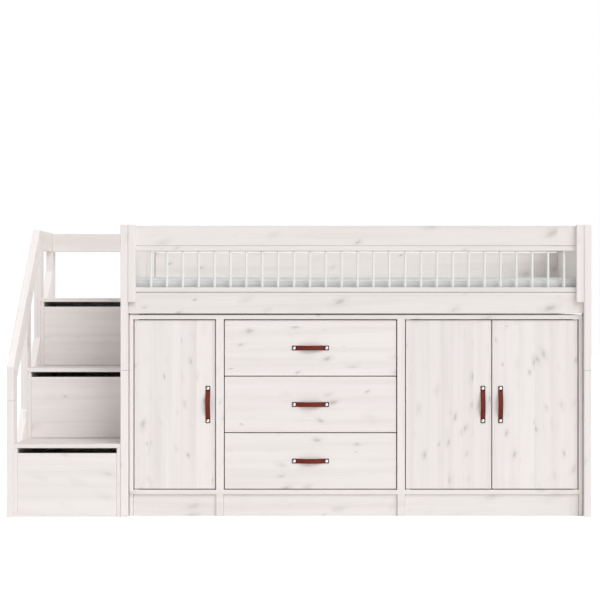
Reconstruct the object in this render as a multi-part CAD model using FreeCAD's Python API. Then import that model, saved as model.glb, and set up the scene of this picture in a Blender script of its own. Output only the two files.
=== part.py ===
import FreeCAD, Part
import math
import os

# Half-high bed in white-washed pine: storage stairs on the left, cabinets under the bed.
# Millimetres. The part stands on the floor and faces -Y, with the stairs at -X.
# The origin is on the floor, in the middle of the whole part.

# Mattress and the room round it
mattress_length = 2000.0
mattress_width = 900.0
mattress_height = 115.0
mattress_end_play = 3.0
mattress_side_play = 1.0
mattress_corner = 45.0
mattress_draw_in = 5.0
mattress_edge_round = 10.0
mattress_edge_inset = 7.0
mattress_shoulder_inset = 1.5
mattress_crown = 5.0
crown_inset_share = 0.1

# Bed frame
post_thickness = 32.0
post_depth = 80.0
post_height = 1285.0
leg_height = 644.0
post_seam = 0.8
board_thickness = 22.0
batten_width = 32.0
batten_thickness = 22.0
batten_lap = 42.5
batten_gap = 1.0
top_board_drop = 4.0
top_board_height = 87.0
board_seam = 2.0
panel_gap = 4.5
panel_end_gap = 5.0
spindle_rail_height = 21.0
spindle_opening = 161.0
side_rail_height = 92.0
rear_rail_height = 110.0
spindle_diameter = 11.5
spindle_pitch = 70.1
spindle_start = 98.0
spindle_end_room = 60.0
entry_post_width = 32.0
edge_ease = 1.5

# Loose tenons that join the stacked lengths of the posts
tenon_thickness = 12.0
tenon_width = 45.0
tenon_length = 80.0
tenon_fit = 0.1

# Slatted base
ledge_width = 24.0
ledge_height = 24.0
ledge_rise = 5.0
slat_thickness = 18.0
slat_width = 70.0
slat_count = 14
slat_end_play = 3.0

# Stairs
stair_width = 470.0
stair_seam = 0.8
step_count = 3
top_step_drop = 24.0
tread_thickness = 18.0
tread_tongue = 24.0
tongue_play = 0.5
nosing = 3.0
stair_panel = 16.0
stair_back_thickness = 8.0
finger_slot = 23.0
stair_front_thickness = 16.0
stair_front_recess = 2.0
stair_front_gap = 0.6
stair_front_clear = 1.5
stair_drawer_depth = 560.0
stair_drawer_end_room = 20.0
stair_box_gap = 4.0

# Railing beside the stairs
rail_thickness = 30.0
rail_post_depth = 80.0
rail_head_height = 93.0
handrail_rise = 339.0
handrail_width = 96.0
stair_board_height = 92.0
stringer_drop = 188.0
stringer_width = 95.0
baluster_width = 80.0
rail_cleat_thickness = 16.0

# Cabinets
cabinet_headroom = 7.0
cabinet_setback = 30.0
cabinet_side_play = 3.0
spacer_depth = 25.0
cabinet_depth = 450.0
small_cabinet_width = 399.0
chest_width = 800.0
carcass_panel = 19.0
carcass_side = 17.0
carcass_ease = 0.6
cabinet_back_thickness = 4.0
foot_height = 97.0
foot_thickness = 16.0
plinth_recess = 10.0
plinth_end_gap = 0.8
plinth_thickness = 16.0
front_thickness = 16.0
front_recess = 8.0
front_gap = 4.0

# Shelves and the cleats under their ends
shelf_thickness = 18.0
shelf_play = 1.0
shelf_setback = 12.0
cleat_height = 20.0
cleat_width = 15.0

# Door pivots: a plate on the carcass and a pin in the door
pivot_inset_share = 0.625
pivot_diameter = 8.0
pivot_reach = 12.0
pivot_clear = 0.3

# Drawer boxes and their wooden runners
drawer_rows = 3
drawer_rear_room = 27.0
drawer_side_gap = 6.0
box_side = 12.0
box_bottom = 6.0
box_lift = 15.0
box_drop = 40.0
bottom_lift = 8.0
groove_height = 17.0
groove_depth = 7.0
runner_clear = 0.3
runner_tip_clear = 0.5
runner_setback = 4.0

# Leather strap handles and their studs
strap_length = 163.0
strap_width = 21.0
strap_thickness = 3.0
strap_rise = 15.0
strap_pad = 20.0
strap_corner = 2.5
strap_foot_arc_share = 0.3
door_strap_inset = 37.0
small_strap_inset = 32.0
stud_diameter = 14.0
stud_dome = 4.5
stud_crown_share = 0.62
stud_shank_width = 4.4
stud_grip = 10.0
pin_fit = 0.05

# Places that follow from the sizes
clear_length = mattress_length + 2 * mattress_end_play
clear_width = mattress_width + 2 * mattress_side_play
bed_length = clear_length + 2 * post_thickness
bed_depth = clear_width + 2 * (board_thickness + batten_thickness)
overall_length = rail_thickness + stair_width + bed_length
left = -overall_length / 2
front = -bed_depth / 2
back = bed_depth / 2
rail_x = (left, left + rail_thickness)
bed_x = (rail_x[1] + stair_width, rail_x[1] + stair_width + bed_length)
stair_x = (rail_x[1], bed_x[0] - stair_seam)
clear_x = (bed_x[0] + post_thickness, bed_x[1] - post_thickness)
front_board_y = (front + batten_thickness, front + batten_thickness + board_thickness)
rear_board_y = (back - batten_thickness - board_thickness, back - batten_thickness)
between_posts_y = (front + post_depth, back - post_depth)

# Heights of the guard, counted down from the top of the posts
top_board_z = (post_height - top_board_drop - top_board_height, post_height - top_board_drop)
upper_rail_z = (top_board_z[0] - board_seam - spindle_rail_height, top_board_z[0] - board_seam)
lower_rail_z = (upper_rail_z[0] - spindle_opening - spindle_rail_height, upper_rail_z[0] - spindle_opening)
side_rail_z = (lower_rail_z[0] - board_seam - side_rail_height, lower_rail_z[0] - board_seam)
panel_z = (side_rail_z[1], top_board_z[0] - panel_gap)
ledge_z = (side_rail_z[0] + ledge_rise, side_rail_z[0] + ledge_rise + ledge_height)
slat_z = (ledge_z[1], ledge_z[1] + slat_thickness)
mattress_z = (slat_z[1], slat_z[1] + mattress_height)

# The stairs climb to just below the side rail's top, and run back to the rear posts
riser = (side_rail_z[1] - top_step_drop) / step_count
tread_run = (bed_depth - post_depth) / step_count

nodes = {}


def vec(x, y, z):
    return FreeCAD.Vector(x, y, z)


# A board with eased edges. Each span is a pair, low and high.
def board(x, y, z, ease=edge_ease):
    block = Part.makeBox(x[1] - x[0], y[1] - y[0], z[1] - z[0], vec(x[0], y[0], z[0]))
    return block.makeChamfer(ease, block.Edges) if ease else block


# A plate cut to an outline of (y, z) points and lying across the x span.
def plate(x, points, ease=edge_ease):
    corners = [vec(x[0], y, z) for y, z in points]
    solid = Part.Face(Part.makePolygon(corners + corners[:1])).extrude(vec(x[1] - x[0], 0, 0))
    return solid.makeChamfer(ease, solid.Edges) if ease else solid


def rod(radius, start, end):
    axis = end - start
    return Part.makeCylinder(radius, axis.Length, start, axis)


def span_middle(span):
    return (span[0] + span[1]) / 2


def around(middle, size):
    return (middle - size / 2, middle + size / 2)


# The same span, drawn in by one amount at both ends.
def inside(span, margin):
    return (span[0] + margin, span[1] - margin)


# Corner posts in two lengths, with a loose tenon in each joint.
# The tenon bears on the ends of its mortises and keeps a thin seam open between the lengths.
post_spans_x = ((bed_x[0], clear_x[0]), (clear_x[1], bed_x[1]))
post_spans_y = ((front, between_posts_y[0]), (between_posts_y[1], back))


# A tenon standing in a joint at height z, or its mortise when it is made larger all round
def joint_tenon(x, y, z, larger=0):
    tenon_x = around(span_middle(x), tenon_thickness + 2 * larger)
    tenon_y = around(span_middle(y), tenon_width + 2 * larger)
    return board(tenon_x, tenon_y, around(z, tenon_length), 0)


def make_posts():
    legs, posts, tenons = [], [], []
    for x in post_spans_x:
        for y in post_spans_y:
            mortise = joint_tenon(x, y, leg_height, tenon_fit)
            seam_z = around(leg_height, post_seam)
            legs.append(board(x, y, (0, seam_z[0])).cut(mortise))
            posts.append(board(x, y, (seam_z[1], post_height)).cut(mortise))
            tenons.append(joint_tenon(x, y, leg_height))
    nodes["lower_legs"] = legs
    nodes["upper_posts"] = posts
    return tenons


# Upright battens in front of the guard boards, one close beside each front post
def make_battens():
    batten_z = (side_rail_z[1] - batten_lap, post_height)
    batten_y = (front, front_board_y[0])
    near, far = inside(clear_x, batten_gap)
    spans_x = ((near, near + batten_width), (far - batten_width, far))
    nodes["guard_battens"] = [board(x, batten_y, batten_z) for x in spans_x]


# Front guard: boards above and below a row of round spindles between two thin rails
def make_front_guard():
    first = clear_x[0] + spindle_start
    count = 1 + int((clear_length - spindle_start - spindle_end_room) // spindle_pitch)
    places = [first + number * spindle_pitch for number in range(count)]
    middle = span_middle(front_board_y)
    low, high = lower_rail_z[1], upper_rail_z[0]
    nodes["front_top_board"] = [board(clear_x, front_board_y, top_board_z)]
    nodes["spindle_rails"] = [board(clear_x, front_board_y, z) for z in (upper_rail_z, lower_rail_z)]
    radius = spindle_diameter / 2
    nodes["guard_spindles"] = [rod(radius, vec(x, middle, low), vec(x, middle, high)) for x in places]
    nodes["front_side_rail"] = [board(clear_x, front_board_y, side_rail_z)]


# Rear guard and the two bed ends: a rail, a panel that stands on it and a top board each
def make_rear_and_ends():
    levels = (side_rail_z, panel_z, top_board_z)
    rear_panel = board(inside(clear_x, panel_end_gap), rear_board_y, panel_z)
    rear_rail_z = (side_rail_z[1] - rear_rail_height, side_rail_z[1])
    rear_rails = [board(clear_x, rear_board_y, z) for z in (rear_rail_z, top_board_z)]
    nodes["rear_boards"] = rear_rails + [rear_panel]
    right_x = (clear_x[1], clear_x[1] + board_thickness)
    nodes["right_end_boards"] = [board(right_x, between_posts_y, z) for z in levels]

    left_x = (clear_x[0] - board_thickness, clear_x[0])
    entry = front + (step_count - 1) * tread_run
    post_y = (entry - entry_post_width, entry)
    guard_y = (between_posts_y[0], post_y[0])
    guards = [board(left_x, guard_y, z) for z in (panel_z, top_board_z)]
    nodes["left_end_boards"] = [board(left_x, between_posts_y, side_rail_z)] + guards
    nodes["entry_post"] = [board((bed_x[0], clear_x[0]), post_y, (side_rail_z[1], post_height))]


def make_slatted_base():
    front_ledge_y = (front_board_y[1], front_board_y[1] + ledge_width)
    rear_ledge_y = (rear_board_y[0] - ledge_width, rear_board_y[0])
    nodes["slat_ledges"] = [board(clear_x, y, ledge_z, 0) for y in (front_ledge_y, rear_ledge_y)]
    slat_y = inside((front_board_y[1], rear_board_y[0]), slat_end_play)
    pitch = clear_length / slat_count
    middles = [clear_x[0] + (number + 0.5) * pitch for number in range(slat_count)]
    nodes["bed_slats"] = [board(around(x, slat_width), slat_y, slat_z, 0) for x in middles]


# Plan outline of the mattress at one height: sides bowed inwards between round corners
def mattress_outline(inset, z):
    x = mattress_length / 2 - inset
    y = mattress_width / 2 - inset
    corner = mattress_corner
    waist = mattress_draw_in
    bend = corner * (1 - math.sqrt(0.5))
    centre_x = span_middle(clear_x)

    def arc(start, middle, end):
        return Part.Arc(*[vec(centre_x + px, py, z) for px, py in (start, middle, end)]).toShape()

    edges = [
        arc((x - corner, y), (x - bend, y - bend), (x, y - corner)),
        arc((x, y - corner), (x - waist, 0), (x, corner - y)),
        arc((x, corner - y), (x - bend, bend - y), (x - corner, -y)),
        arc((x - corner, -y), (0, waist - y), (corner - x, -y)),
        arc((corner - x, -y), (bend - x, bend - y), (-x, corner - y)),
        arc((-x, corner - y), (waist - x, 0), (-x, y - corner)),
        arc((-x, y - corner), (bend - x, y - bend), (corner - x, y)),
        arc((corner - x, y), (0, y - waist), (x - corner, y)),
    ]
    return Part.Wire(edges)


def make_mattress():
    low, high = mattress_z
    rim = high - mattress_crown
    outlines = [
        mattress_outline(mattress_edge_inset, low),
        mattress_outline(mattress_shoulder_inset, low + mattress_edge_round),
        mattress_outline(0, (low + rim) / 2),
        mattress_outline(mattress_shoulder_inset, rim - mattress_edge_round),
        mattress_outline(mattress_edge_inset, rim),
        mattress_outline(mattress_width * crown_inset_share, high),
    ]
    nodes["mattress"] = [Part.makeLoft(outlines, True, True)]


# Railing: its pieces lie in one upright plane beside the stairs, apart from the rear rail and its cleat,
# which join it to the bed. Depths are counted back from the front of the part.
slope = riser / tread_run
slant = math.hypot(1, slope)
rail_back = bed_depth - post_depth


def handrail_top(depth):
    return riser + handrail_rise + slope * depth


def handrail_underside(depth):
    return handrail_top(depth) - handrail_width * slant


def stringer_top(depth):
    return riser - stringer_drop + slope * depth


def depth_at(height, line):
    return (height - line(0)) / slope


# The front post's lower length ends at a fixed height of the upper one below the handrail
rail_leg_height = handrail_underside(rail_post_depth) - rail_head_height


def rail_plate(points):
    return plate(rail_x, [(front + depth, height) for depth, height in points])


def make_railing():
    board_bottom = post_height - stair_board_height
    upper_mitre = depth_at(post_height, handrail_top)
    lower_mitre = depth_at(board_bottom, handrail_underside)
    post = rail_post_depth
    leg_y = (front, front + post)
    mortise = joint_tenon(rail_x, leg_y, rail_leg_height, tenon_fit)
    seam_z = around(rail_leg_height, post_seam)
    head = rail_plate([
        (0, seam_z[1]),
        (post, seam_z[1]),
        (post, handrail_underside(post)),
        (0, handrail_top(0)),
    ])
    leg = board(rail_x, leg_y, (0, seam_z[0]))
    nodes["stair_front_post"] = [leg.cut(mortise), head.cut(mortise)]
    nodes["stair_handrail"] = [rail_plate([
        (0, handrail_top(0)),
        (post, handrail_underside(post)),
        (lower_mitre, board_bottom),
        (upper_mitre, post_height),
    ])]
    nodes["stair_top_board"] = [rail_plate([
        (upper_mitre, post_height),
        (lower_mitre, board_bottom),
        (rail_back, board_bottom),
        (rail_back, post_height),
    ])]

    balusters = []
    for number in range(1, step_count):
        near = number * tread_run
        far = near + baluster_width
        heads = [(depth, min(handrail_underside(depth), board_bottom)) for depth in (far, near)]
        if near < lower_mitre < far:
            heads.insert(1, (lower_mitre, board_bottom))
        balusters.append(rail_plate([(near, stringer_top(near)), (far, stringer_top(far))] + heads))
    nodes["stair_balusters"] = balusters

    depths = (post, rail_back)
    upper_edge = [(depth, stringer_top(depth)) for depth in depths]
    lower_edge = [(depth, height - stringer_width * slant) for depth, height in reversed(upper_edge)]
    nodes["stair_stringer"] = [rail_plate(upper_edge + lower_edge)]
    nodes["stair_rear_post"] = [board(rail_x, post_spans_y[1], (0, post_height))]
    rear_rail_y = (between_posts_y[1], between_posts_y[1] + board_thickness)
    rear_rail_x = (rail_x[1], bed_x[0])
    rear_rail = board(rear_rail_x, rear_rail_y, (board_bottom, post_height - top_board_drop))
    cleat_x = (bed_x[0] - rail_cleat_thickness, bed_x[0])
    cleat = board(cleat_x, rear_rail_y, (step_count * riser, board_bottom))
    nodes["stair_rear_rail"] = [rear_rail, cleat]
    return joint_tenon(rail_x, leg_y, rail_leg_height)


# Stairs: stepped side panels, notched treads and a back panel
stair_back = between_posts_y[1] + board_thickness
stair_inner_x = inside(stair_x, stair_panel)
stair_backs_y = (stair_back - stair_back_thickness, stair_back)


def tread_front(step):
    return front + step * tread_run


def tread_z(step):
    return ((step + 1) * riser - tread_thickness, (step + 1) * riser)


def make_stairs():
    outline = [(stair_backs_y[0], 0), (front + nosing, 0)]
    for step in range(step_count):
        seat = tread_z(step)[0]
        outline.append((tread_front(step) + nosing, seat))
        last = step == step_count - 1
        outline.append((stair_backs_y[0] if last else tread_front(step + 1) + nosing, seat))
    panels = []
    for x in ((stair_x[0], stair_inner_x[0]), (stair_inner_x[1], stair_x[1])):
        panel = plate(x, outline, 0)
        upright = [edge for edge in panel.Edges if abs(edge.tangentAt(edge.FirstParameter).z) == 1]
        panels.append(panel.makeChamfer(edge_ease, upright))
    nodes["stair_side_panels"] = panels

    treads = []
    for step in range(step_count):
        last = step == step_count - 1
        rear = stair_back if last else tread_front(step + 1) + nosing
        tread = board(stair_x, (tread_front(step), rear), tread_z(step))
        if not last:
            tongue_x = inside(stair_inner_x, tongue_play)
            tongue_y = (rear - edge_ease, rear + tread_tongue)
            tread = tread.fuse(board(tongue_x, tongue_y, tread_z(step), 0)).removeSplitter()
        treads.append(tread)
    nodes["stair_treads"] = treads
    nodes["stair_back_panel"] = [board(stair_x, stair_backs_y, (0, tread_z(step_count - 1)[0]))]


# A drawer box: grooved sides, a back and a bottom. It carries the front at its open end.
def groove_z(box_z):
    middle = span_middle(box_z)
    return (middle - groove_height / 2, middle + groove_height / 2)


def drawer_box(x, y, box_z):
    sides = []
    for side_x, mouth in (((x[0], x[0] + box_side), x[0]), ((x[1] - box_side, x[1]), x[1] - groove_depth)):
        low, high = groove_z(box_z)
        groove = Part.makeBox(groove_depth, y[1] - y[0], high - low, vec(mouth, y[0], low))
        sides.append(board(side_x, y, box_z, 0).cut(groove))
    inner_x = inside(x, box_side)
    rear = board(inner_x, (y[1] - box_side, y[1]), box_z, 0)
    floor_z = (box_z[0] + bottom_lift, box_z[0] + bottom_lift + box_bottom)
    floor = board(inner_x, (y[0], y[1] - box_side), floor_z, 0)
    return sides + [rear, floor]


# The two runner strips that a box slides on, fixed to the walls beside it
def runner_pair(walls, side_gap, y, box_z):
    reach = side_gap + groove_depth - runner_tip_clear
    strip_z = inside(groove_z(box_z), runner_clear)
    strip_y = (y[0] + runner_setback, y[1])
    spans = ((walls[0], walls[0] + reach), (walls[1] - reach, walls[1]))
    return [board(x, strip_y, strip_z, 0) for x in spans]


def make_stair_drawers():
    runners = []
    front_x = inside(stair_inner_x, stair_front_gap)
    for step in range(step_count):
        floor = tread_z(step - 1)[1] if step else 0
        face = tread_front(step) + nosing + stair_front_recess
        front_z = (floor + stair_front_clear, tread_z(step)[0] - finger_slot)
        front_y = (face, face + stair_front_thickness)
        room = stair_backs_y[0] - front_y[1] - stair_drawer_end_room
        box_y = (front_y[1], front_y[1] + min(stair_drawer_depth, room))
        box_z = (front_z[0] + box_lift, front_z[1] - box_drop)
        box_x = inside(stair_inner_x, stair_box_gap)
        name = "stair_drawer_%d" % (step + 1)
        nodes[name + "_front"] = [board(front_x, front_y, front_z, carcass_ease)]
        nodes[name + "_box"] = drawer_box(box_x, box_y, box_z)
        runners += runner_pair(stair_inner_x, stair_box_gap, box_y, box_z)
    return runners


# A strap handle lying along X, its back on the plane y = 0 and its arch towards -Y
def strap_and_studs():
    start = strap_length / 2 - strap_pad
    half_turn = math.atan(strap_rise / start)
    turn = 2 * half_turn
    reach = start / math.sin(turn)
    foot_arc = reach * strap_foot_arc_share
    crest_arc = reach - foot_arc
    half = strap_thickness / 2
    end = strap_length / 2

    def arc(radius, centre, angles):
        points = [(centre[0] + radius * math.sin(a), centre[1] - radius * math.cos(a)) for a in angles]
        return Part.Arc(*[vec(x, y, 0) for x, y in points]).toShape()

    def skin(offset):
        crest_angles = (-turn, 0, turn)
        left_foot = arc(offset - foot_arc, (-start, -half - foot_arc), (0, -half_turn, -turn))
        crest = arc(crest_arc + offset, (0, crest_arc - half - strap_rise), crest_angles)
        right_foot = arc(offset - foot_arc, (start, -half - foot_arc), (turn, half_turn, 0))
        level = -half - offset
        first = Part.LineSegment(vec(-end, level, 0), vec(-start, level, 0)).toShape()
        last = Part.LineSegment(vec(start, level, 0), vec(end, level, 0)).toShape()
        return [first, left_foot, crest, right_foot, last]

    caps = [Part.LineSegment(vec(x, 0, 0), vec(x, -strap_thickness, 0)).toShape() for x in (-end, end)]
    wire = Part.Wire(Part.__sortEdges__(skin(half) + skin(-half) + caps))
    strap = Part.Face(wire).extrude(vec(0, 0, strap_width))
    strap.translate(vec(0, 0, -strap_width / 2))
    corners = [edge for edge in strap.Edges if abs(edge.tangentAt(edge.FirstParameter).y) == 1]
    strap = strap.makeFillet(strap_corner, corners)

    rim = stud_diameter / 2
    shank_y = (-strap_thickness, stud_grip)
    bore_width = stud_shank_width + 2 * pin_fit
    studs, bores = [], []
    for x in around(0, strap_length - strap_pad):
        seat = vec(x, -strap_thickness, 0)
        head = Part.makeCone(rim, rim * stud_crown_share, stud_dome, seat, vec(0, -1, 0))
        shank = board(around(x, stud_shank_width), shank_y, around(0, stud_shank_width), 0)
        studs.append(head.fuse(shank))
        bores.append(board(around(x, bore_width), shank_y, around(0, bore_width), 0))
    return strap.cut(bores), studs, bores


# Places a handle on a front panel and bores the panel for its studs
def fit_handle(name, panel, place, upright):
    strap, studs, bores = strap_and_studs()
    for shape in [strap] + studs + bores:
        if upright:
            shape.rotate(vec(0, 0, 0), vec(0, 1, 0), 90)
        shape.translate(place)
    nodes[name + "_strap"] = [strap]
    nodes[name + "_studs"] = studs
    return panel.cut(bores)


# Cabinets: one door, then drawers, then two doors
cabinet_y = (front + cabinet_setback, front + cabinet_setback + cabinet_depth)
carcass_y = (cabinet_y[0], cabinet_y[1] - cabinet_back_thickness)
cabinet_top = side_rail_z[0] - cabinet_headroom
opening_z = (foot_height + carcass_panel, cabinet_top - carcass_panel)
front_y = (cabinet_y[0] + front_recess, cabinet_y[0] + front_recess + front_thickness)
row_x = inside(clear_x, cabinet_side_play)
chest_x = (row_x[0] + small_cabinet_width, row_x[0] + small_cabinet_width + chest_width)
cabinet_edges = [row_x[0], chest_x[0], chest_x[1], row_x[1]]
cabinet_spans = list(zip(cabinet_edges[:-1], cabinet_edges[1:]))
opening_spans = [inside(span, carcass_side) for span in cabinet_spans]
pivot_inset = front_thickness * pivot_inset_share
pivot_y = span_middle(front_y)
door_z = inside(opening_z, front_gap)
shelf_z = (span_middle(opening_z) - shelf_thickness / 2, span_middle(opening_z) + shelf_thickness / 2)
shelf_y = (front_y[1] + shelf_setback, carcass_y[1])


# Every door: its name, its span and the side that its pivots are on
def door_plan():
    small, large = opening_spans[0], opening_spans[2]
    half = (large[1] - large[0] - 3 * front_gap) / 2
    left_half = (large[0] + front_gap, large[0] + front_gap + half)
    right_half = (large[1] - front_gap - half, large[1] - front_gap)
    return (
        ("small_door", inside(small, front_gap), "left"),
        ("left_door", left_half, "left"),
        ("right_door", right_half, "right"),
    )


def pivot_x(span, side):
    return span[0] + pivot_inset if side == "left" else span[1] - pivot_inset


# One pivot: a plate that nearly fills the gap between carcass and door, and a pin from it into the door
def pivot(x, level, door_edge):
    up = 1 if door_edge > level else -1
    plate_edge = door_edge - up * pivot_clear
    plate_z = sorted((level, plate_edge))
    base = board(around(x, 2 * pivot_inset), front_y, plate_z, 0)
    pin = rod(pivot_diameter / 2, vec(x, pivot_y, plate_edge), vec(x, pivot_y, door_edge + up * pivot_reach))
    return base.fuse(pin)


def pivot_bore(x, door_edge, up):
    head = vec(x, pivot_y, door_edge + up * (pivot_reach + pivot_clear))
    return rod(pivot_diameter / 2 + pin_fit, vec(x, pivot_y, door_edge), head)


def make_doors():
    pivots = []
    for name, span, side in door_plan():
        x = pivot_x(span, side)
        pivots += [pivot(x, level, edge) for level, edge in zip(opening_z, door_z)]
        bores = [pivot_bore(x, door_z[0], 1), pivot_bore(x, door_z[1], -1)]
        inset = small_strap_inset if name == "small_door" else door_strap_inset
        handle_x = span[1] - inset if side == "left" else span[0] + inset
        place = vec(handle_x, front_y[0], span_middle(door_z))
        nodes[name] = [fit_handle(name, board(span, front_y, door_z).cut(bores), place, True)]
    nodes["door_pivots"] = pivots


def make_cabinets():
    tops, sides, bottoms, backs, plinths, shelves = [], [], [], [], [], []
    for number, (span, opening) in enumerate(zip(cabinet_spans, opening_spans)):
        if number != 1:
            cleat_z = (shelf_z[0] - cleat_height, shelf_z[0])
            cleats_x = ((opening[0], opening[0] + cleat_width), (opening[1] - cleat_width, opening[1]))
            shelves.append(board(inside(opening, shelf_play), shelf_y, shelf_z))
            shelves += [board(x, shelf_y, cleat_z, 0) for x in cleats_x]
        tops.append(board(span, carcass_y, (opening_z[1], cabinet_top), carcass_ease))
        bottoms.append(board(span, carcass_y, (foot_height, opening_z[0]), carcass_ease))
        walls = ((span[0], opening[0]), (opening[1], span[1]))
        sides += [board(x, carcass_y, opening_z, carcass_ease) for x in walls]
        feet = ((span[0], span[0] + foot_thickness), (span[1] - foot_thickness, span[1]))
        plinths += [board(x, carcass_y, (0, foot_height), carcass_ease) for x in feet]
        plinth_y = (carcass_y[0] + plinth_recess, carcass_y[0] + plinth_recess + plinth_thickness)
        plinth_x = inside((feet[0][1], feet[1][0]), plinth_end_gap)
        plinths.append(board(plinth_x, plinth_y, (0, foot_height), carcass_ease))
        backs.append(board(span, (carcass_y[1], cabinet_y[1]), (foot_height, cabinet_top), 0))
    # Spacers that tie the row to the front posts, out of sight in the gaps beside it
    spacer_y = (between_posts_y[0] - spacer_depth, between_posts_y[0])
    for x in ((clear_x[0], row_x[0]), (row_x[1], clear_x[1])):
        sides.append(board(x, spacer_y, opening_z, 0))
    nodes["cabinet_tops"] = tops
    nodes["cabinet_bottoms"] = bottoms
    nodes["cabinet_sides"] = sides
    nodes["cabinet_backs"] = backs
    nodes["cabinet_plinths"] = plinths
    nodes["cabinet_shelves"] = shelves


def make_chest_drawers():
    opening = opening_spans[1]
    front_x = inside(opening, front_gap)
    height = (opening_z[1] - opening_z[0] - (drawer_rows + 1) * front_gap) / drawer_rows
    box_x = inside(opening, drawer_side_gap)
    box_y = (front_y[1], carcass_y[1] - drawer_rear_room)
    runners = []
    for row in range(drawer_rows):
        low = opening_z[0] + front_gap + row * (height + front_gap)
        front_z = (low, low + height)
        box_z = (front_z[0] + box_lift, front_z[1] - box_drop)
        name = "chest_drawer_%d" % (row + 1)
        place = vec(span_middle(front_x), front_y[0], span_middle(front_z))
        nodes[name + "_front"] = [fit_handle(name, board(front_x, front_y, front_z), place, False)]
        nodes[name + "_box"] = drawer_box(box_x, box_y, box_z)
        runners += runner_pair(opening, drawer_side_gap, box_y, box_z)
    return runners


bed_tenons = make_posts()
make_battens()
make_front_guard()
make_rear_and_ends()
make_slatted_base()
make_mattress()
stair_tenon = make_railing()
nodes["post_tenons"] = bed_tenons + [stair_tenon]
make_stairs()
stair_runners = make_stair_drawers()
make_doors()
make_cabinets()
nodes["drawer_runners"] = make_chest_drawers() + stair_runners

os.makedirs("parts", exist_ok=True)
for node, solids in nodes.items():
    shape = solids[0] if len(solids) == 1 else Part.makeCompound(solids)
    shape.exportStep(os.path.join("parts", node + ".step"))
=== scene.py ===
import math

import bmesh
import bpy
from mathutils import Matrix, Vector
from mathutils.bvhtree import BVHTree


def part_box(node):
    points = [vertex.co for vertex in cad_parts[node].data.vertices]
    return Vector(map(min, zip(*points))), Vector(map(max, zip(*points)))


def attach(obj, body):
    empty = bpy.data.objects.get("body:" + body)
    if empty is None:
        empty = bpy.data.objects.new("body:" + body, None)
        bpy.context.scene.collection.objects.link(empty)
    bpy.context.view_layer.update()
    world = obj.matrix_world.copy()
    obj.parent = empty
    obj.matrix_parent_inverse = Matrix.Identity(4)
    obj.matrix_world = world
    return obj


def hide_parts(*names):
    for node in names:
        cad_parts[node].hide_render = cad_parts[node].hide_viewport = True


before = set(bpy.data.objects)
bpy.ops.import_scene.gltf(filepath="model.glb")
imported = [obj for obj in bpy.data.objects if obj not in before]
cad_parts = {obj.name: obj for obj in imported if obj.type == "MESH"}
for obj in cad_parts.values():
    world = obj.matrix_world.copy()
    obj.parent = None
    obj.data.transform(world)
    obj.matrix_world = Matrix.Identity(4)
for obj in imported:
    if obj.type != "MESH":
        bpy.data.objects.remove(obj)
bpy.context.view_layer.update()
scene = bpy.context.scene
scene.view_settings.view_transform = "Standard"


# Camera at the photograph's place: level, far off, its axis right of the picture's middle
photoView = {
    "frameSize": 600,               # pixels across the picture
    "focalPixels": 1616,
    "axisPixel": (356, 300),        # where the camera's axis meets the picture
    "eye": (0.250, -7.595, 0.954),
    "sensor": 36.0,
}


def makeCamera(view):
    data = bpy.data.cameras.new("photo_camera")
    data.sensor_width = view["sensor"]
    data.lens = view["focalPixels"] / view["frameSize"] * view["sensor"]
    middle = view["frameSize"] / 2
    data.shift_x = (middle - view["axisPixel"][0]) / view["frameSize"]
    data.shift_y = (view["axisPixel"][1] - middle) / view["frameSize"]
    camera = bpy.data.objects.new("photo_camera", data)
    camera.location = view["eye"]
    camera.rotation_euler = (math.radians(90), 0, 0)
    scene.collection.objects.link(camera)
    scene.camera = camera


makeCamera(photoView)
print("camera placed")


# Small helpers for node trees
def addNode(tree, kind, **settings):
    node = tree.nodes.new(kind)
    for key, value in settings.items():
        setattr(node, key, value)
    return node


def feed(tree, socket, value):          # a link from another socket, or a plain value
    if isinstance(value, bpy.types.NodeSocket):
        tree.links.new(value, socket)
    else:
        socket.default_value = value


def calc(tree, operation, *values):
    node = addNode(tree, "ShaderNodeMath", operation=operation)
    for socket, value in zip(node.inputs, values):
        feed(tree, socket, value)
    return node.outputs[0]


def step(tree, value, start, end):      # 0 at start, 1 at end, smooth between; start may be the larger
    node = addNode(tree, "ShaderNodeMapRange", interpolation_type="SMOOTHSTEP")
    feed(tree, node.inputs["Value"], value)
    feed(tree, node.inputs["From Min"], start)
    feed(tree, node.inputs["From Max"], end)
    return node.outputs["Result"]


def spread(tree, value, low, high):     # a 0 to 1 value laid between low and high
    node = addNode(tree, "ShaderNodeMapRange")
    feed(tree, node.inputs["Value"], value)
    node.inputs["To Min"].default_value = low
    node.inputs["To Max"].default_value = high
    return node.outputs["Result"]


def point(tree, x, y, z):
    node = addNode(tree, "ShaderNodeCombineXYZ")
    for socket, value in zip(node.inputs, (x, y, z)):
        feed(tree, socket, value)
    return node.outputs[0]


def parts(tree, vector):
    node = addNode(tree, "ShaderNodeSeparateXYZ")
    feed(tree, node.inputs[0], vector)
    return node.outputs


def noise(tree, vector, scale, detail=2.0, roughness=0.5):
    node = addNode(tree, "ShaderNodeTexNoise")
    feed(tree, node.inputs["Vector"], vector)
    node.inputs["Scale"].default_value = scale
    node.inputs["Detail"].default_value = detail
    node.inputs["Roughness"].default_value = roughness
    return node.outputs["Fac"]


def tint(tree, factor, first, second, blend="MIX"):
    node = addNode(tree, "ShaderNodeMix", data_type="RGBA", blend_type=blend)
    feed(tree, node.inputs[0], factor)
    feed(tree, node.inputs[6], first)
    feed(tree, node.inputs[7], second)
    return node.outputs[2]


def newMaterial(name, **constants):     # a bare shader with its constant values set on its own sockets
    material = bpy.data.materials.new(name)
    material.use_nodes = True
    shader = material.node_tree.nodes["Principled BSDF"]
    for socket, value in constants.items():
        shader.inputs[socket.replace("_", " ")].default_value = value
    return material, material.node_tree, shader


def objectPlace(tree):
    return addNode(tree, "ShaderNodeTexCoord").outputs["Object"]


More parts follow.
